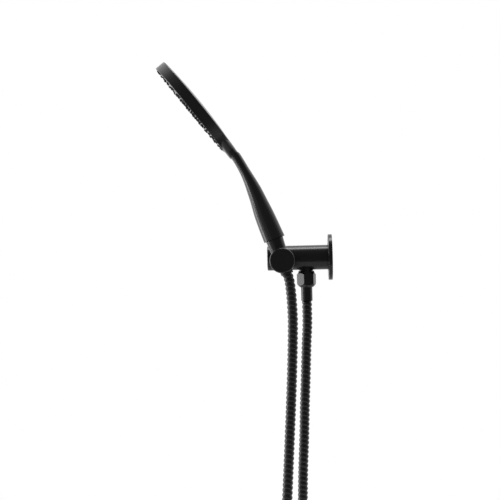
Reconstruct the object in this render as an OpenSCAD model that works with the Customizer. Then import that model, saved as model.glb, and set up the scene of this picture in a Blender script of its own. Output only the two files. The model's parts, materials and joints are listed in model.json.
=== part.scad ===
// A hand shower set for a wall outlet: a round arm with a flange feeds a hose through its
// underside, and a swivelling holder on the arm's side takes the cone nut of the handset.
// The wall is the plane x = 0, the arm runs along -X on the X axis, and +Z is up.
// The holder and the handset stand on the -Y side of the arm.

/* [Wall arm] */
// Diameter of the wall flange
flange_d = 66; // [60:1:76]
// Thickness of the wall flange
flange_t = 5.5; // [5:0.5:8]
// Diameter of the arm
arm_d = 35.5; // [34:0.5:40]
// Reach of the arm from the wall
arm_reach = 93; // [92:1:110]
// Crest radius of the threaded inlet, G1/2
inlet_r = 9.3; // [9.2:0.05:9.4]
// Depth of the threaded inlet
inlet_depth = 14; // [12:1:18]
// Diameter of the waterway through the arm
waterway_d = 14; // [10:1:16]

/* [Swivel holder] */
// Distance of the pivot from the wall
pivot_from_wall = 70.6; // [66:0.2:73]
// Drop of the pivot below the axis of the arm
pivot_drop = 4.5; // [3:0.5:6]
// Diameter of the round holder
holder_d = 35; // [33:1:38]
// Distance of the handset's plane from the axis of the arm
bore_offset = 47; // [45:1:52]
// Wall between the cone bore and the front face of the holder
front_wall = 7.5; // [6:0.5:10]
// Radius of the holder's front edge
front_round = 2.5; // [1:0.5:4]
// Lean of the handle from the vertical, in degrees
tilt = 19; // [15:1:24]
// Width of the slot that lets the hose in
slot_w = 15.8; // [15:0.1:17]
// Wall of the plastic liner in the cone bore
liner_wall = 1.6; // [1:0.1:2]
// Diameter of the spindle that the holder turns on
spindle_d = 12; // [10:0.5:13]
// Thickness of the friction ring between arm and holder
friction_t = 1; // [0.8:0.1:1.5]

/* [Outlet] */
// Distance of the outlet from the wall
outlet_from_wall = 37.5; // [34:0.5:40]
// Diameter of the outlet's boss below the arm
outlet_boss_d = 20; // [19:0.5:22]
// Length of the boss between the arm and the nut
boss_l = 1.5; // [1:0.5:6]
// Width of the outlet nut across its flats
nut_af = 24.6; // [23.4:0.1:26]
// Height of the outlet nut above its domed end
nut_h = 18.5; // [17:0.5:22]
// Height of the domed end of the outlet nut
dome_h = 5; // [4:0.5:7]
// Diameter of the crimped ferrule below the outlet nut
ferrule_d = 16.4; // [15.8:0.1:16.6]
// Length of the ferrule that shows below the outlet nut
ferrule_l = 19.5; // [15:0.5:25]

/* [Hose] */
// Outside diameter of the hose
hose_d = 14.5; // [13.5:0.1:15]

/* [Cone nut] */
// Diameter of the cone nut at the handle
cone_top_d = 24.8; // [23.6:0.1:25.4]
// Diameter of the cone nut at its lower end
cone_end_d = 17.2; // [17:0.1:18]
// Length of the cone nut
cone_l = 52; // [48:1:56]
// Height of the handle's end above the pivot, along the cone
handle_lift = 32; // [30:1:36]
// Radius of the half inch thread that the nuts screw on to
thread_r = 10.3; // [10.2:0.05:10.4]
// Length of the thread inside the cone nut
thread_l = 9; // [8:0.5:11]

/* [Handset] */
// Diameter of the handle at its end
handle_d = 30.2; // [28:0.2:32]
// Width of the flat neck
neck_w = 25.6; // [24:0.2:30]
// Thickness of the flat neck
neck_t = 14; // [13.6:0.2:16]
// Distance from the handle's end to the centre of the spray face
face_s = 211; // [208:1:220]
// Offset of the spray face's centre to the front
face_t = 48.5; // [46.5:0.5:50]
// Lean of the head from the handle, in degrees
head_lean = 19.2; // [18:0.2:21]
// Diameter of the head
head_d = 150; // [146:1:154]
// Thickness of the head at its rim
rim_t = 15; // [14.5:0.1:16]
// Rise of the domed back above the rim
dome_rise = 3.8; // [2:0.1:4.5]
// Wall of the head's shell
shell_wall = 2.4; // [2:0.1:2.8]

/* [Spray face] */
// Thickness of the face plate
plate_t = 2.5; // [2:0.1:3]
// Thickness of the nozzle mat
mat_t = 1.5; // [1.2:0.1:2]
// Rings of nozzles
nozzle_rings = 5; // [3:1:5]
// Nozzles in the innermost ring
nozzles_in_ring = 6; // [4:1:6]
// Diameter of a nozzle
nozzle_d = 3.4; // [3:0.1:3.8]
// Height that a nozzle stands out of the face plate
nozzle_out = 1.6; // [1:0.1:2.5]
// Height of the water chamber behind the mat
chamber_h = 3; // [2.5:0.1:3.5]

/* [Non-return valve] */
// Diameter of the valve cartridge
valve_d = 11; // [10.5:0.1:11.4]
// Travel of the poppet
valve_travel = 2.5; // [2:0.1:3]

/* [Hidden] */
$fn = 96;
finish = "#2c2c2e";
rubber = "#18181a";
brass = "#b08d45";
plastic = "#3a3a3d";

// Small gaps between pieces that slide, screw or clip together
slip = 0.1;
running = 0.05;
over = 1;

// Arm and flange
arm_r = arm_d / 2;
flange_rim = 3;
gasket_t = 2.9;
gasket_in = arm_r + 0.8;
seal_r = 1.2;
seal_mid = arm_r + seal_r + running;
boss_y = arm_r + 1.5;
boss_r = holder_d / 2;
waterway_end = outlet_from_wall + waterway_d / 2;

// Cone nut: radii at a height above the pivot along the cone
cone_end = handle_lift - cone_l;
cone_slope = (cone_top_d - cone_end_d) / 2 / cone_l;
washer_t = 2;
flange_thick = 2;
nut_shoulder = handle_lift - thread_l - washer_t - flange_thick;
hose_r = hose_d / 2;
passage_r = hose_r + 0.35;
stem_r = 5;
stem_bore = 3.5;
crimp_end = -2;
function cone_r(z) = cone_end_d / 2 + cone_slope * (z - cone_end);
function liner_in(z) = cone_r(z) + slip;
function bore_r(z) = liner_in(z) + liner_wall + running;

// Holder: the pivot lies along Y, the cone bore crosses it in the handset's plane
holder_r = holder_d / 2;
back_y = boss_y + friction_t;
front_y = bore_offset + bore_r(0) + front_wall;
spindle_r = spindle_d / 2;
spindle_end = back_y + 11;
shank_r = 4;
shank_l = 12;
groove_y = back_y + 6;
groove_w = 3.4;
groove_r = spindle_r - 1.7;
screw_r = 2.5;
screw_tip_r = 1.6;
screw_tip_l = 1.6;
ring_y = back_y + 2.4;
ring_r = 0.9;

// Outlet, as heights below the arm's axis
nipple_top = -(arm_r - 9);
stem_d = 16.8;
nut_top = -(arm_r + boss_l);
boss_gap = 0.2;
thread_top = nut_top - 0.3;
thread_end = thread_top - 8.7;
washer_end = thread_end - washer_t;
tail_seat = washer_end - flange_thick;
hex_end = nut_top - nut_h;
dome_end = hex_end - dome_h;
crimp_low = dome_end - ferrule_l;
nut_r = nut_af / 2 / cos(30);

// Non-return valve in the bore of the nipple
valve_r = valve_d / 2;
valve_top = nipple_top - 0.5;
valve_l = 15;
valve_low = valve_top - valve_l;
valve_wall = 1.2;
seat_t = 1.8;
seat_r = 2.6;
poppet_r = valve_r - valve_wall - 0.6;
poppet_t = 1.5;
guide_t = 1.6;
guide_r = 1.1;
spring_r = 2.5;
wire_r = 0.3;
spring_turns = 5;

// Handset: s runs up the handle from its end, t runs to the back
connector_r = 11;
connector_l = 24;
tube_r = 4;
tube_bore = 3;
bend_s = 104;
bend_t = 6;
head_r = head_d / 2;
recess_r = head_r - shell_wall;
plate_gap = 0.3;
plate_front = 0.4;
mat_front = plate_front + plate_t;
mat_back = mat_front + mat_t;
chamber_top = mat_back + chamber_h;
chamber_plate_t = 2.2;
face_seal_r = 0.9;
spigot_d = 9.4;
spigot_r = 3;
spigot_u = head_r - 1.5;
nozzle_pitch = (head_r - 5.5) / nozzle_rings;
edge_r = 1.6;
function dome(r) = rim_t + dome_rise * (1 - pow(r / (head_r - edge_r), 2));
function head_point(u, d) = [face_s - u * cos(head_lean) + d * sin(head_lean),
                             -face_t + u * sin(head_lean) + d * cos(head_lean)];

// The hose leaves the cone nut along its axis, hangs in a loop and comes up to the outlet
hose_gap = 0.2;
hose_top = crimp_end - hose_gap;
hose_start = [-pivot_from_wall + sin(tilt) * -hose_top, -bore_offset,
              -pivot_drop + cos(tilt) * hose_top];
hose_exit = [-pivot_from_wall + sin(tilt) * -cone_end, -bore_offset,
             -pivot_drop + cos(tilt) * cone_end];
hose_route = [
    [-61.8, -47, -31], [-60.2, -47, -42], [-58.8, -47, -60], [-58, -47, -86], [-58.8, -47, -118],
    [-60.7, -47, -160], [-63.2, -48, -205], [-66, -50, -250], [-68.8, -53, -295], [-71.8, -58, -340],
    [-76, -66, -390], [-79, -76, -440], [-81, -85, -490], [-81, -90, -530], [-80, -88, -562],
    [-78, -80, -593], [-73, -58, -616], [-66, -27, -625], [-59, 4, -616], [-54, 26, -593],
    [-52, 34, -562], [-51, 34, -525], [-51, 28, -480], [-51, 18, -430], [-51, 9, -385],
    [-50, 3, -345], [-48.5, 0, -303], [-46, 0, -258], [-44, 0, -212], [-41.7, 0, -170],
    [-39.5, 0, -125], [-38, 0, -102], [-37.5, 0, -86], [-37.5, 0, -74]];
hose_end = [-outlet_from_wall, 0, crimp_low - hose_gap];

function spline_at(a, b, c, d, t) =
    (2 * b + (c - a) * t + (2 * a - 5 * b + 4 * c - d) * t * t
     + (3 * b - a - 3 * c + d) * t * t * t) / 2;
function spline(p, n) = concat(
    [for (i = [0:len(p) - 2], k = [0:n - 1])
        spline_at(p[max(i - 1, 0)], p[i], p[i + 1], p[min(i + 2, len(p) - 1)], k / n)],
    [p[len(p) - 1]]);
function unit(v) = v / norm(v);
function heading(p, i) = unit(p[min(i + 1, len(p) - 1)] - p[max(i - 1, 0)]);
function across(v, n) = unit(n - (n * v) * v);
// The side direction of every ring, carried along the path so that the tube doesn't twist
function sides_of(p, n, i = 0) =
    i == len(p) ? [] : let (m = across(heading(p, i), n)) concat([m], sides_of(p, m, i + 1));
function tube_rings(p, r, count, start) =
    let (m = sides_of(p, start))
    [for (i = [0:len(p) - 1]) let (w = cross(heading(p, i), m[i]))
        [for (k = [0:count - 1]) let (a = 360 * k / count)
            p[i] + r * (cos(a) * m[i] + sin(a) * w)]];

// Joins a row of rings, each with the same number of points, into one closed solid
module skin(rings) {
    count = len(rings[0]);
    last = len(rings) - 1;
    points = [for (ring = rings) for (p = ring) p];
    walls = [for (i = [0:last - 1], k = [0:count - 1])
        let (a = i * count + k, b = i * count + (k + 1) % count)
        each [[a, a + count, b], [b, a + count, b + count]]];
    caps = [[for (k = [0:count - 1]) k],
            [for (k = [count - 1:-1:0]) last * count + k]];
    polyhedron(points = points, faces = concat(walls, caps), convexity = 8);
}

module along_arm(x) { translate([-x, 0, 0]) rotate([0, -90, 0]) children(); }
module at_pivot(y) {
    translate([-pivot_from_wall, -y, -pivot_drop]) rotate([90, 0, 0]) children();
}
module in_cone() {
    translate([-pivot_from_wall, -bore_offset, -pivot_drop]) rotate([0, -tilt, 0]) children();
}
module in_handset() { in_cone() translate([0, 0, handle_lift]) children(); }
module in_head() {
    in_handset() translate([-face_t, 0, face_s]) rotate([0, 90 - head_lean, 0]) children();
}
module at_outlet() { translate([-outlet_from_wall, 0, 0]) children(); }

// A tube standing on z = 0
module sleeve(outer, inner, height) {
    difference() {
        cylinder(r = outer, h = height);
        translate([0, 0, -over]) cylinder(r = inner, h = height + 2 * over);
    }
}
module o_ring(middle, section) {
    rotate_extrude() translate([middle, 0]) circle(r = section, $fn = 24);
}
// A disc with its upper edge rounded
module rounded_disc(radius, height, edge) {
    rotate_extrude() {
        square([radius - edge, height]);
        square([radius, height - edge]);
        translate([radius - edge, height - edge]) circle(r = edge, $fn = 32);
    }
}

module wall_flange() color(finish) along_arm(0) difference() {
    rounded_disc(flange_d / 2, flange_t, 1);
    translate([0, 0, -over]) cylinder(r = arm_r + slip, h = flange_t + 2 * over);
    translate([0, 0, -over]) cylinder(r = flange_d / 2 - flange_rim, h = gasket_t + over);
    translate([0, 0, gasket_t + 0.3])
        cylinder(r = seal_mid + seal_r + running, h = 2 * seal_r + slip);
}

module wall_gasket() color(rubber) along_arm(0)
    sleeve(flange_d / 2 - flange_rim - slip, gasket_in, gasket_t);

module flange_o_ring() color(rubber)
    along_arm(gasket_t + 0.3 + seal_r + running) o_ring(seal_mid, seal_r);

// The arm is turned from bar, with the holder's boss on its side and the outlet underneath
module arm_body() color(finish) difference() {
    union() {
        along_arm(0) cylinder(r = arm_r, h = arm_reach - 0.8);
        along_arm(arm_reach - 0.8) cylinder(r1 = arm_r, r2 = arm_r - 0.8, h = 0.8);
        at_pivot(0) cylinder(r = boss_r, h = boss_y);
        at_outlet() translate([0, 0, nut_top + boss_gap])
            cylinder(d = outlet_boss_d, h = arm_r + boss_l - boss_gap);
    }
    along_arm(-over) cylinder(r = inlet_r, h = inlet_depth + over);
    along_arm(0) cylinder(d = waterway_d, h = waterway_end);
    at_outlet() translate([0, 0, nut_top])
        cylinder(d = stem_d + 2 * running, h = nipple_top - nut_top);
    at_outlet() translate([0, 0, nipple_top - over])
        cylinder(r = valve_r - valve_wall, h = over - nipple_top);
    at_pivot(boss_y - shank_l - over) cylinder(r = shank_r + running, h = shank_l + 2 * over);
}

module outlet_nipple() color(brass) at_outlet() difference() {
    union() {
        translate([0, 0, thread_top]) cylinder(d = stem_d, h = nipple_top - thread_top);
        translate([0, 0, thread_end]) cylinder(r = thread_r, h = thread_top - thread_end);
    }
    translate([0, 0, valve_low]) cylinder(r = valve_r + running, h = 2 * valve_l);
    translate([0, 0, thread_end - over])
        cylinder(r = valve_r - valve_wall, h = valve_low - thread_end + 2 * over);
}

module valve_housing() color(plastic) at_outlet() difference() {
    translate([0, 0, valve_low]) cylinder(r = valve_r, h = valve_l);
    translate([0, 0, valve_low + guide_t])
        cylinder(r = valve_r - valve_wall, h = valve_l - guide_t - seat_t);
    translate([0, 0, valve_top - seat_t - over]) cylinder(r = seat_r, h = seat_t + 2 * over);
    translate([0, 0, valve_low - over]) cylinder(r = guide_r + running, h = guide_t + 2 * over);
    for (a = [0:60:300]) rotate([0, 0, a]) translate([(guide_r + valve_r - valve_wall) / 2 + 0.2, 0,
        valve_low - over]) cylinder(r = 0.8, h = guide_t + 2 * over, $fn = 24);
    translate([0, 0, valve_top - 3.4]) difference() {
        cylinder(r = valve_r + over, h = 1.6);
        translate([0, 0, -over]) cylinder(r = valve_r - 0.75, h = 1.6 + 2 * over);
    }
}

module valve_o_ring() color(rubber) at_outlet()
    translate([0, 0, valve_top - 2.6]) o_ring(valve_r - 0.36, 0.36);

module valve_poppet() color(plastic) at_outlet() {
    seat = valve_top - seat_t;
    translate([0, 0, seat - poppet_t]) cylinder(r = poppet_r, h = poppet_t);
    translate([0, 0, seat]) cylinder(r1 = seat_r - 0.2, r2 = seat_r - 0.9, h = 0.9);
    translate([0, 0, valve_low + 0.4]) cylinder(r = guide_r, h = seat - valve_low - 0.4);
}

module valve_spring() color("silver") at_outlet() {
    low = valve_low + guide_t + wire_r + 0.05;
    high = valve_top - seat_t - poppet_t - wire_r - 0.05;
    path = [for (i = [0:spring_turns * 10]) let (a = 36 * i)
        [spring_r * cos(a), spring_r * sin(a), low + (high - low) * i / (spring_turns * 10)]];
    skin(tube_rings(path, wire_r, 6, [1, 0, 0]));
}

module outlet_washer() color(rubber) at_outlet() translate([0, 0, washer_end])
    sleeve(thread_r - 1, stem_bore + 1.5, washer_t);

// The nut's hexagon is turned so that its corner faces the room, and its end is domed
module outlet_nut() color(finish) at_outlet() difference() {
    intersection() {
        translate([0, 0, dome_end]) rotate([0, 0, 15])
            cylinder(r = nut_r, h = nut_top - dome_end, $fn = 6);
        rotate_extrude() polygon([
            [0, nut_top], [thread_r + 1, nut_top], [thread_r + 1.3, nut_top - 1.5],
            [nut_r - 1.8, nut_top - 3.4], [nut_r, nut_top - 5.2], [nut_r, hex_end + 1.4],
            [nut_r - 0.5, hex_end - 0.4], [nut_r - 1.6, hex_end - 2],
            [nut_r - 3.2, hex_end - 3.6], [ferrule_d / 2 + 1.2, dome_end], [0, dome_end]]);
    }
    translate([0, 0, tail_seat]) cylinder(r = thread_r + slip, h = nut_top - tail_seat + over);
    translate([0, 0, dome_end - over])
        cylinder(d = ferrule_d + 2 * slip, h = tail_seat - dome_end + 2 * over);
}

module hose_tail(flange_r, stem_l) difference() {
    union() {
        cylinder(r = flange_r, h = flange_thick);
        translate([0, 0, -stem_l]) cylinder(r = stem_r, h = stem_l + over);
    }
    translate([0, 0, -stem_l - over]) cylinder(r = stem_bore, h = stem_l + flange_thick + 2 * over);
}

module outlet_tail() color(brass) at_outlet() translate([0, 0, tail_seat])
    hose_tail(thread_r - 0.6, tail_seat - crimp_low - 3);

module outlet_ferrule() color(finish) at_outlet() translate([0, 0, crimp_low])
    sleeve(ferrule_d / 2, stem_r + running, tail_seat - 0.1 - crimp_low);

module shower_hose() color(finish)
    skin(tube_rings(spline(concat([hose_start, hose_exit], hose_route, [hose_end]), 2),
                    hose_r, 10, [0, 1, 0]));

module cone_ferrule() color("silver") in_cone() translate([0, 0, crimp_end])
    sleeve(hose_r, stem_r + running, nut_shoulder - 0.1 - crimp_end);

module cone_tail() color(brass) in_cone() translate([0, 0, nut_shoulder])
    hose_tail(thread_r - 0.6, nut_shoulder - crimp_end - 3);

module cone_nut() color(finish) in_cone() difference() {
    rotate_extrude() polygon([
        [0, cone_end], [cone_end_d / 2 - 0.4, cone_end], [cone_r(cone_end + 0.4), cone_end + 0.4],
        [cone_r(handle_lift - 0.6), handle_lift - 0.6], [cone_top_d / 2 - 0.6, handle_lift],
        [0, handle_lift]]);
    translate([0, 0, nut_shoulder]) cylinder(r = thread_r + slip, h = handle_lift);
    translate([0, 0, cone_end - over]) cylinder(r = passage_r, h = cone_l);
}

module filter_washer() color(rubber) in_cone()
    translate([0, 0, nut_shoulder + flange_thick]) sleeve(thread_r - 1, stem_bore + 1.5, washer_t);

// The threaded connector is pressed into the handle and carries the cone nut
module handset_connector() color(brass) in_handset() difference() {
    union() {
        translate([0, 0, -thread_l]) cylinder(r = thread_r, h = thread_l + over);
        cylinder(r = connector_r, h = connector_l);
    }
    translate([0, 0, -thread_l - over]) cylinder(r = tube_r, h = thread_l + connector_l + 2 * over);
    translate([0, 0, connector_l - 5]) difference() {
        cylinder(r = connector_r + over, h = 2.6);
        translate([0, 0, -over]) cylinder(r = connector_r - 1.9, h = 2.6 + 2 * over);
    }
}

module connector_o_ring() color(rubber) in_handset()
    translate([0, 0, connector_l - 3.7]) o_ring(connector_r - 0.95, 0.95);

// The handle is round at its end, flattens to the neck and widens into the round head.
// Each station: distance s up the handle, offset t of its centre to the back, half the
// thickness, half the width, roundness of the section and lean of the section.
handle_r = handle_d / 2;
flat = neck_t / 2;
wide = neck_w / 2;
handle_stations = [
    [0, 0, handle_r, handle_r, 2, 0],
    [20, -0.9, handle_r - 0.6, handle_r - 0.5, 2, 2],
    [40, -1.7, handle_r - 1.6, handle_r - 1.1, 2, 2],
    [58, -2.1, handle_r - 3.5, handle_r - 1.8, 2, 2],
    [75, -2.8, flat + 3.2, wide + 0.2, 2.1, 3],
    [90, -4.1, flat + 1.5, wide, 2.2, 6],
    [bend_s, -bend_t, flat + 0.3, wide, 2.3, 10],
    [118, -8.3, flat, wide + 0.4, 2.5, 14],
    [128, -10.5, flat, wide + 0.8, 2.6, 17]];
// Each root station: distance u from the face's centre, half width, half thickness
root_stations = [[13, 1.8, 0.1], [7, 4.8, 0.3], [1, 11, 0.5], [-6, 18, 0.7],
                 [-16, 25, 0.8], [-32, 30, 0.8]];
stations = concat(handle_stations, [for (q = root_stations)
    let (half = flat + q[2], p = head_point(head_r + q[0], half + 0.4))
    [p[0], p[1], half, wide + q[1], 3, head_lean]]);
function bent(v, e) = sign(v) * pow(abs(v), 2 / e);
function section(q) = [for (k = [0:31]) let (
    a = 360 * k / 32, x = q[2] * bent(cos(a), q[4]), y = q[3] * bent(sin(a), q[4]))
    [q[1] + x * cos(q[5]), y, q[0] + x * sin(q[5])]];

module handset_shell() color(finish) difference() {
    union() {
        in_handset() skin([for (q = spline(stations, 2)) section(q)]);
        in_head() rotate_extrude() polygon(concat(
            [[0, 0], [head_r - 0.6, 0], [head_r, 0.6], [head_r, rim_t - edge_r]],
            [for (a = [15:15:75]) [head_r - edge_r + edge_r * cos(a), rim_t - edge_r + edge_r * sin(a)]],
            [for (r = [head_r - edge_r:-(head_r - edge_r) / 8:0.1]) [r, dome(r)]],
            [[0, dome(0)]]));
    }
    in_head() rotate_extrude() polygon(concat(
        [[0, -over], [recess_r, -over], [recess_r, rim_t - shell_wall]],
        [for (r = [recess_r - 2:-(recess_r - 2) / 6:0.1]) [r, dome(r) - shell_wall]],
        [[0, dome(0) - shell_wall]]));
    in_head() translate([0, 0, spigot_d]) rotate([0, 90, 0])
        cylinder(r = spigot_r + slip, h = spigot_u);
    in_handset() translate([0, 0, -over]) cylinder(r = connector_r + running, h = connector_l + over);
    in_handset() water_path(tube_r + slip, 0.8);
}

// The waterway runs up the middle of the handle and bends towards the head
water_points = [[connector_l + 0.6, 0], [bend_s, -bend_t], head_point(spigot_u + 0.4, spigot_d)];
module water_path(r, extra = 0) {
    for (i = [0:len(water_points) - 2]) {
        from = water_points[i];
        step = water_points[i + 1] - from;
        translate([from[1], 0, from[0]]) rotate([0, atan2(step[1], step[0]), 0])
            translate([0, 0, -extra]) cylinder(r = r, h = norm(step) + 2 * extra);
    }
    translate([-bend_t, 0, bend_s]) sphere(r = r + 0.2);
}
module water_tube() color(plastic) in_handset() difference() {
    water_path(tube_r);
    water_path(tube_bore, 0.4);
}

// Behind the mat the chamber plate closes the water space and takes the water tube's spigot
module chamber_plate() color(plastic) in_head() difference() {
    union() {
        translate([0, 0, chamber_top]) cylinder(r = recess_r - 2.8, h = chamber_plate_t);
        translate([0, 0, mat_back]) sleeve(recess_r - 2.8, recess_r - 5, chamber_h + over);
        translate([recess_r - 16, 0, spigot_d]) rotate([0, 90, 0])
            cylinder(r = spigot_r, h = spigot_u - recess_r + 16);
        for (a = [30:60:330]) rotate([0, 0, a]) translate([10, -0.8, chamber_top])
            cube([recess_r - 30, 1.6, chamber_plate_t + 1.4]);
    }
    translate([recess_r - 15, 0, spigot_d]) rotate([0, 90, 0])
        cylinder(r = spigot_r - 0.9, h = spigot_u);
    translate([recess_r - 13, 0, mat_back]) cylinder(r = spigot_r - 0.9, h = spigot_d - mat_back);
}

module chamber_seal() color(rubber) in_head()
    translate([0, 0, mat_back + face_seal_r + running]) o_ring(recess_r - 1.4, face_seal_r);

// Nozzles sit on rings, and each ring has the same count more than the one inside it
module nozzle_field() {
    for (i = [1:nozzle_rings], k = [0:nozzles_in_ring * i - 1])
        rotate([0, 0, 360 * k / (nozzles_in_ring * i)]) translate([i * nozzle_pitch, 0, 0])
            children();
}

module nozzle_mat() color(rubber) in_head() difference() {
    union() {
        translate([0, 0, mat_front]) cylinder(r = recess_r - 0.4, h = mat_t);
        nozzle_field() translate([0, 0, plate_front - nozzle_out])
            cylinder(d = nozzle_d, h = plate_t + nozzle_out + mat_t / 2, $fn = 16);
    }
    nozzle_field() translate([0, 0, plate_front - nozzle_out - over])
        cylinder(r = 0.5, h = plate_t + nozzle_out + mat_t + 2 * over, $fn = 13);
}

module face_plate() color(finish) in_head() difference() {
    translate([0, 0, plate_front]) cylinder(r = recess_r - plate_gap, h = plate_t);
    nozzle_field() translate([0, 0, plate_front - over])
        cylinder(d = nozzle_d + 2 * slip, h = plate_t + 2 * over, $fn = 16);
}

// The holder is a round bar across the handset's plane with the cone bore through it
module swivel_holder() color(finish) difference() {
    at_pivot(back_y) rounded_disc(holder_r, front_y - back_y, front_round);
    in_cone() cone_space(1);
    in_cone() translate([-holder_d, -slot_w / 2, -holder_d]) cube([holder_d, slot_w, 2 * holder_d]);
    at_pivot(back_y - over) cylinder(r = spindle_r + running, h = spindle_end - back_y + 0.4 + over);
    in_screw() cylinder(r = screw_r + running, h = holder_d);
}
// The cone bore, or with less round it the inside of the liner
module cone_space(layer) {
    h = holder_r + over;
    at = layer == 1 ? [bore_r(-h), bore_r(h)] : [liner_in(-h), liner_in(h)];
    translate([0, 0, -h]) cylinder(r1 = at[0], r2 = at[1], h = 2 * h);
}
// The lock screw runs in from below, square to the spindle
module in_screw() {
    translate([-pivot_from_wall, -groove_y, -pivot_drop]) rotate([0, 180 - tilt, 0]) children();
}

module cone_liner() color(plastic) intersection() {
    at_pivot(back_y) cylinder(r = holder_r - 0.3, h = front_y - back_y);
    difference() {
        in_cone() translate([0, 0, -holder_r])
            cylinder(r1 = bore_r(-holder_r) - running, r2 = bore_r(holder_r) - running, h = holder_d);
        in_cone() cone_space(0);
        in_cone() translate([-holder_d, -slot_w / 2, -holder_d])
            cube([holder_d, slot_w, 2 * holder_d]);
    }
}

module lock_screw() color("silver") in_screw() difference() {
    union() {
        translate([0, 0, spindle_r + 0.4]) cylinder(r = screw_r, h = holder_r - spindle_r - 1.4);
        translate([0, 0, groove_r + 0.1]) cylinder(r = screw_tip_r, h = screw_tip_l + 1);
    }
    translate([0, 0, holder_r - 3]) cylinder(r = 1.45, h = 3, $fn = 6);
}

module pivot_spindle() color(brass) difference() {
    union() {
        at_pivot(boss_y - shank_l) cylinder(r = shank_r, h = shank_l + over);
        at_pivot(boss_y) cylinder(r = spindle_r, h = spindle_end - boss_y);
    }
    at_pivot(groove_y - groove_w / 2) ring_cut(groove_r, groove_w);
    at_pivot(ring_y - 1.1) ring_cut(spindle_r - 1.9, 2.2);
}
module ring_cut(floor_r, width) difference() {
    cylinder(r = spindle_r + over, h = width);
    translate([0, 0, -over]) cylinder(r = floor_r, h = width + 2 * over);
}

module spindle_o_ring() color(rubber) at_pivot(ring_y) o_ring(spindle_r - ring_r - 0.02, ring_r);

module friction_ring() color(plastic) at_pivot(boss_y)
    sleeve(holder_r - 0.8, spindle_r + slip, friction_t);

wall_flange();
wall_gasket();
flange_o_ring();
arm_body();
outlet_nipple();
valve_housing();
valve_o_ring();
valve_poppet();
valve_spring();
outlet_washer();
outlet_nut();
outlet_tail();
outlet_ferrule();
shower_hose();
cone_ferrule();
cone_tail();
cone_nut();
filter_washer();
handset_connector();
connector_o_ring();
handset_shell();
water_tube();
chamber_plate();
chamber_seal();
nozzle_mat();
face_plate();
swivel_holder();
cone_liner();
lock_screw();
pivot_spindle();
spindle_o_ring();
friction_ring();
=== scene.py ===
# %% [markdown]
# # A black hand shower set
# A short round arm comes out of the wall. A ribbed hose hangs from its underside, loops round and
# comes up to a swivelling holder, where a large flat handset rests in a conical nut.
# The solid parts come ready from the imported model. This lesson adds the camera, the hose's ribs,
# the finishes and the light.

# %% Open the model
import json
import math

import bpy
from mathutils import Matrix, Vector


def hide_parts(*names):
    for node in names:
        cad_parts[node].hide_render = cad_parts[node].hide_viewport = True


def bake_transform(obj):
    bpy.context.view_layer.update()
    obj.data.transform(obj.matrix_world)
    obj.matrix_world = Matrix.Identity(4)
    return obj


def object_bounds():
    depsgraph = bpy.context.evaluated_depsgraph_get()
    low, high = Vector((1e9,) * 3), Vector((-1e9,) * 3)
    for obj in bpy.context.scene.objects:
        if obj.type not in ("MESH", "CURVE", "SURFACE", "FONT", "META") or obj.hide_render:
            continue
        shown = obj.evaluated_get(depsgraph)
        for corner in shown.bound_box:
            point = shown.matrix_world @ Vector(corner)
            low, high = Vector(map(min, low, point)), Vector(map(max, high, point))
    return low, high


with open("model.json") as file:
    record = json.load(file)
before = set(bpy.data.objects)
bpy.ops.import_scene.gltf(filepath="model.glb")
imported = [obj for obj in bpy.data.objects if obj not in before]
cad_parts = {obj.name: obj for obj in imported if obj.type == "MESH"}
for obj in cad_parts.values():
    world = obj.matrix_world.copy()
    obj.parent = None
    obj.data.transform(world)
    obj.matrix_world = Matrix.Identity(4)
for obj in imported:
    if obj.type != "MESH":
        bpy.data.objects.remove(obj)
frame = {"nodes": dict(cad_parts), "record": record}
nodes = frame["nodes"]
solid_low, solid_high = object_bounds()
MM = 0.001

# %% [markdown]
# ## The camera
# The photograph is taken square to the side of the arm, from a little left of the wall and almost
# level. Two of its facts fix the lens: how far the round flange shows its front, and how long
# the handset looks beside the arm. The camera's three directions are worked out with plain
# trigonometry, because a wall fitting has no horizon to aim at.

# %% Camera
EYE = Vector((-44.8, -1226, -22)) * MM
TURN, RISE, ROLL = math.radians(3.43), math.radians(1.625), math.radians(1.25)
LENS, SENSOR = 60.9, 36

forward = Vector((-math.sin(TURN) * math.cos(RISE), math.cos(TURN) * math.cos(RISE), math.sin(RISE)))
level = forward.cross(Vector((0, 0, 1))).normalized()
upright = level.cross(forward)
right = level * math.cos(ROLL) - upright * math.sin(ROLL)
up = level * math.sin(ROLL) + upright * math.cos(ROLL)

camera = bpy.data.objects.new("camera", bpy.data.cameras.new("camera"))
bpy.context.collection.objects.link(camera)
camera.data.lens = LENS
camera.data.sensor_width = SENSOR
camera.data.clip_start = 0.05
camera.data.clip_end = 50
camera.matrix_world = Matrix.Translation(EYE) @ Matrix((right, up, -forward)).transposed().to_4x4()
bpy.context.scene.camera = camera
print("camera", round(EYE.length, 3), "m from the wall inlet")

# %% [markdown]
# ## The hose's path
# A hose of one and a quarter metres leaves the cone nut along the nut's own axis, hangs down,
# turns in one loose half circle at the bottom and comes up to the outlet. The points are those
# of the solid hose, and a smooth curve is drawn through them. Ribs need closely spaced rings,
# so the curve is then walked in equal steps.

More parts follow.
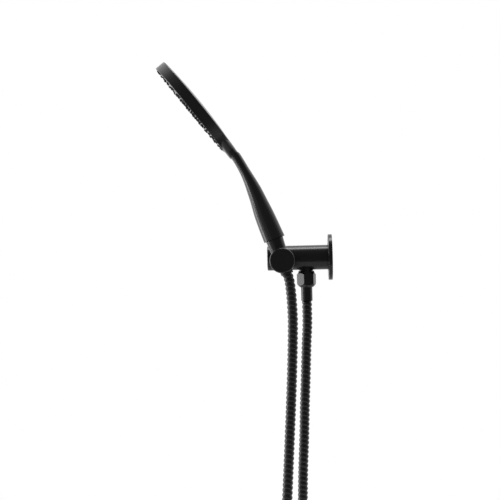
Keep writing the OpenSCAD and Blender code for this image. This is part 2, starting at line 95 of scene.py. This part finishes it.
# %% Hose centreline
TILT = math.radians(19)
PIVOT = Vector((-70.6, -47, -4.5))
NUT_AXIS = Vector((-math.sin(TILT), 0, math.cos(TILT)))
OUTLET_X, FERRULE_END = -37.5, -62.45
HOSE_D = 14.5
hose_top = PIVOT - NUT_AXIS * 2.2
hose_exit = PIVOT - NUT_AXIS * 20
route = [
    (-61.8, -47, -31), (-60.2, -47, -42), (-58.8, -47, -60), (-58, -47, -86), (-58.8, -47, -118),
    (-60.7, -47, -160), (-63.2, -48, -205), (-66, -50, -250), (-68.8, -53, -295),
    (-71.8, -58, -340), (-76, -66, -390), (-79, -76, -440), (-81, -85, -490), (-81, -90, -530),
    (-80, -88, -562), (-78, -80, -593), (-73, -58, -616), (-66, -27, -625), (-59, 4, -616),
    (-54, 26, -593), (-52, 34, -562), (-51, 34, -525), (-51, 28, -480), (-51, 18, -430),
    (-51, 9, -385), (-50, 3, -345), (-48.5, 0, -303), (-46, 0, -258), (-44, 0, -212),
    (-41.7, 0, -170), (-39.5, 0, -125), (-38, 0, -102), (-37.5, 0, -86), (-37.5, 0, -74)]
knots = [hose_top, hose_exit] + [Vector(p) for p in route] + [Vector((OUTLET_X, 0, FERRULE_END))]


def between(a, b, c, d, t):
    """A point on the smooth curve from b to c, with a before them and d after."""
    return (2 * b + (c - a) * t + (2 * a - 5 * b + 4 * c - d) * t ** 2
            + (3 * b - a - 3 * c + d) * t ** 3) / 2


def smooth(points, steps=16):
    """The points joined by a smooth curve, as many small steps."""
    last = len(points) - 1
    curve = [between(points[max(i - 1, 0)], points[i], points[i + 1], points[min(i + 2, last)], k / steps)
             for i in range(last) for k in range(steps)]
    return curve + [points[-1]]


def even(points, step):
    """The same line walked in equal steps."""
    lengths = [(b - a).length for a, b in zip(points, points[1:])]
    count = round(sum(lengths) / step)
    step = sum(lengths) / count
    walked, i, done = [points[0].copy()], 0, 0
    for n in range(1, count):
        while done + lengths[i] < n * step:
            done += lengths[i]
            i += 1
        walked.append(points[i].lerp(points[i + 1], (n * step - done) / lengths[i]))
    return walked + [points[-1].copy()]


RIB_PITCH = 6.6
RINGS_PER_RIB = 9
centreline = even(smooth(knots), RIB_PITCH / RINGS_PER_RIB)
hose_length = sum((b - a).length for a, b in zip(centreline, centreline[1:]))
print("hose", round(hose_length), "mm long,", len(centreline), "rings")

# %% [markdown]
# ## The ribbed hose
# The hose is a bellows-like sleeve with one rib that runs round it like a screw thread, which is
# why the teeth on its left edge stand half a pitch below those on its right. Each ring of points
# is pushed in or out by where the rib passes it. The ring's side direction is carried along from
# ring to ring, so the helix doesn't jump where the hose bends.

# %% Hose mesh
RIB_DEPTH = 1.5
SIDES = 30


def rib(turns):
    """How far the surface stands below the crest, from 0 to 1, with round crests and tight roots."""
    return abs(math.sin(math.pi * turns)) ** 0.8


def tube(name, line, radius_at, sides):
    """A closed tube round the line, in metres; radius_at takes a place along it and an angle."""
    heads = [(line[min(i + 1, len(line) - 1)] - line[max(i - 1, 0)]).normalized()
             for i in range(len(line))]
    side = Vector((0, 1, 0))
    corners, faces = [], []
    for i, (centre, head) in enumerate(zip(line, heads)):
        side = (side - head * side.dot(head)).normalized()
        other = head.cross(side)
        for k in range(sides):
            angle = 2 * math.pi * k / sides
            radius = radius_at(i, k / sides)
            corners.append((centre + (side * math.cos(angle) + other * math.sin(angle)) * radius) * MM)
    for i in range(len(line) - 1):
        for k in range(sides):
            a, b = i * sides + k, i * sides + (k + 1) % sides
            faces.append((a, b, b + sides, a + sides))
    faces.append(tuple(range(sides))[::-1])
    faces.append(tuple(range(len(corners) - sides, len(corners))))
    mesh = bpy.data.meshes.new(name)
    mesh.from_pydata(corners, [], faces)
    mesh.polygons.foreach_set("use_smooth", [True] * len(faces))
    made = bpy.data.objects.new(name, mesh)
    bpy.context.collection.objects.link(made)
    return made


def hose_radius(ring, turn):
    return HOSE_D / 2 - RIB_DEPTH * (1 - rib(ring / RINGS_PER_RIB + turn))


hose = tube("ribbed_hose", centreline, hose_radius, SIDES)
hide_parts("shower_hose")
print("hose mesh has", len(hose.data.polygons), "faces")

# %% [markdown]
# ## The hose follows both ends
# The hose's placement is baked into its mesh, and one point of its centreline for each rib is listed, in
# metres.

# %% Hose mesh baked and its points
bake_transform(hose)
[tuple(p * MM) for p in centreline[::RINGS_PER_RIB]]

# %% [markdown]
# ## A small language for finishes
# A finish is a web of nodes. Writing it as sums reads better, so a thin class stands for one
# number of the web and turns each sign into a Math node. Every other node comes from one method.

# %% Shader helper


class Amount:
    """One output of a node, on which plain arithmetic adds Math nodes."""

    def __init__(self, finish, socket):
        self.finish = finish
        self.socket = socket

    def math(self, operation, first, second):
        return self.finish.node("ShaderNodeMath", {"operation": operation}, {0: first, 1: second})

    def __add__(self, other):
        return self.math("ADD", self, other)

    def __radd__(self, other):
        return self.math("ADD", other, self)

    def __sub__(self, other):
        return self.math("SUBTRACT", self, other)

    def __rsub__(self, other):
        return self.math("SUBTRACT", other, self)

    def __mul__(self, other):
        return self.math("MULTIPLY", self, other)

    def __rmul__(self, other):
        return self.math("MULTIPLY", other, self)


class Finish:
    """A material, with one method that makes any node of it."""

    def __init__(self, name, tree_owner=None):
        self.material = tree_owner or bpy.data.materials.new(name)
        self.material.use_nodes = True
        self.tree = self.material.node_tree
        self.tree.nodes.clear()

    def node(self, kind, settings=None, sockets=None, out=0):
        made = self.tree.nodes.new(kind)
        for key, value in (settings or {}).items():
            setattr(made, key, value)
        for key, value in (sockets or {}).items():
            if isinstance(value, Amount):
                self.tree.links.new(value.socket, made.inputs[key])
            else:
                made.inputs[key].default_value = value
        return Amount(self, made.outputs[out]) if made.outputs else made

    def place(self):
        """Where a point lies on the piece, in metres."""
        return self.node("ShaderNodeTexCoord", out="Object")

    def noise(self, size_mm, detail=2):
        """Soft random spots of about this size, from 0 to 1."""
        return self.node("ShaderNodeTexNoise", None,
                         {"Vector": self.place(), "Scale": 1 / (size_mm * MM), "Detail": detail})

    def surface(self, sockets):
        shader = self.node("ShaderNodeBsdfPrincipled", None, sockets)
        self.node("ShaderNodeOutputMaterial", None, {"Surface": shader})
        return self.material

    def bump(self, height, strength, distance_mm):
        return self.node("ShaderNodeBump", None,
                         {"Height": height, "Strength": strength, "Distance": distance_mm * MM})


def grey(level):
    return (level, level, level * 1.02, 1)


# %% [markdown]
# ## Satin black
# The metal parts and the handset share one satin black lacquer. It is a very dark base under a
# half-gloss skin, with a grain too fine to see that breaks up the reflections a little, and
# a roughness that wanders by a few hundredths as sprayed lacquer does.

# %% Black lacquer


def lacquer(name, base, rough, grain):
    finish = Finish(name)
    patches = finish.noise(30)
    fine = finish.noise(0.35, detail=1)
    return finish.surface({
        "Base Color": grey(base),
        "Roughness": rough + (patches - 0.5) * 0.05,
        "Specular IOR Level": 0.5,
        "Normal": finish.bump(fine, grain, 0.02)})


satin_black = lacquer("satin_black", 0.011, 0.24, 0.25)
black_abs = lacquer("black_abs", 0.013, 0.27, 0.25)

# %% [markdown]
# ## The other finishes
# The hose has a smooth plastic cover, the nozzles are soft silicone that scatters light, and
# what is inside is turned brass, moulded plastic, rubber and stainless steel.

# %% Hose, rubber, plastic and bare metal


def plain(name, colour, rough, metallic=0.0, spots=0.04):
    finish = Finish(name)
    return finish.surface({
        "Base Color": colour,
        "Metallic": metallic,
        "Roughness": rough + (finish.noise(4) - 0.5) * spots})


finishes = {
    "satin_black": satin_black,
    "black_abs": black_abs,
    "hose_cover": plain("hose_cover", grey(0.012), 0.33),
    "silicone": plain("silicone", grey(0.014), 0.55),
    "black_rubber": plain("black_rubber", grey(0.012), 0.6),
    "black_plastic": plain("black_plastic", grey(0.018), 0.4),
    "white_plastic": plain("white_plastic", (0.68, 0.67, 0.63, 1), 0.4),
    "brass": plain("brass", (0.6, 0.41, 0.16, 1), 0.28, metallic=1.0),
    "stainless": plain("stainless", (0.55, 0.56, 0.57, 1), 0.3, metallic=1.0)}
slot_of = {row["node"]: row["material_slot"] for row in frame["record"]["subparts"]}
for name, part in nodes.items():
    part.data.materials.clear()
    part.data.materials.append(finishes[slot_of[name]])
hose.data.materials.append(finishes["hose_cover"])
print("finishes:", len(finishes))

# %% [markdown]
# ## Floor and white surroundings
# The set hangs in front of pure white. The white is a colour that the camera, the reflections
# and clear things see, while the light that falls on the set stays at an ordinary level.
# The reflections see white only behind and above, because a studio is dark round the camera.
# A pale floor under the loop of the hose keeps its shadow.

# %% Floor
FLOOR_GAP = 12
floor_z = solid_low.z - FLOOR_GAP * MM
bpy.ops.mesh.primitive_cylinder_add(vertices=96, radius=0.75, depth=0.01,
                                    location=(-0.1, 0, floor_z - 0.005))
floor = bpy.context.object
floor.name = "floor"
floor.data.materials.append(plain("floor", (0.8, 0.8, 0.8, 1), 0.6))

# %% Surroundings
world = bpy.data.worlds.new("studio")
bpy.context.scene.world = world
studio = Finish("studio", world)
toward = studio.node("ShaderNodeTexCoord", out="Generated")
split = studio.node("ShaderNodeSeparateXYZ", None, {0: toward})
x_out, y_out, z_out = (Amount(studio, split.socket.node.outputs[axis]) for axis in "XYZ")


def fade(amount, low, high, start=0.0, end=1.0):
    """Goes smoothly from start to end while the amount goes from low to high."""
    return studio.node("ShaderNodeMapRange", {"interpolation_type": "SMOOTHSTEP"},
                       {0: amount, 1: low, 2: high, 3: start, 4: end})


behind = fade(y_out, -0.35, 0.35)
left_side = fade(x_out, -0.2, -0.9)
not_below = fade(z_out, -0.75, -0.35, 0.1, 1)
seen_in_gloss = 0.1 + (behind * not_below + left_side * 0.35) * 0.85
rays = studio.node("ShaderNodeLightPath")
camera_ray, glossy_ray, clear_ray = (
    Amount(studio, rays.socket.node.outputs[kind])
    for kind in ("Is Camera Ray", "Is Glossy Ray", "Is Transmission Ray"))
AMBIENT = 0.35
whole = camera_ray + clear_ray
strength = AMBIENT + whole * (1 - AMBIENT) + glossy_ray * (seen_in_gloss - AMBIENT)
background = studio.node("ShaderNodeBackground", None, {"Color": (1, 1, 1, 1), "Strength": strength})
studio.node("ShaderNodeOutputWorld", None, {"Surface": background})

# %% [markdown]
# ## Soft lamps
# A large lamp above lights the tops, a tall one on the left draws the pale line down the front
# of the handle, and a long low one in front puts the second bright band on the arm.

# %% Lamps


def lamp(name, place, aim, size, watts):
    data = bpy.data.lights.new(name, "AREA")
    data.shape = "RECTANGLE"
    data.size, data.size_y = size
    data.energy = watts
    made = bpy.data.objects.new(name, data)
    bpy.context.collection.objects.link(made)
    made.location = place
    made.rotation_mode = "QUATERNION"
    made.rotation_quaternion = (Vector(aim) - Vector(place)).to_track_quat("-Z", "Y")
    return made


CENTRE = (-0.1, -0.03, 0)
lamp("overhead", (-0.1, 0.25, 1.6), CENTRE, (1.4, 0.6), 14)
lamp("left_side", (-1.5, 0.15, 0.2), CENTRE, (0.5, 1.6), 12)
lamp("low_front", (-0.05, -0.75, -1.25), CENTRE, (1.2, 0.28), 7)
print("lamps:", len(bpy.data.lights))

# %% [markdown]
# ## The render uses Blender's Standard view transform.

# %% Finish
bpy.context.scene.view_settings.view_transform = "Standard"
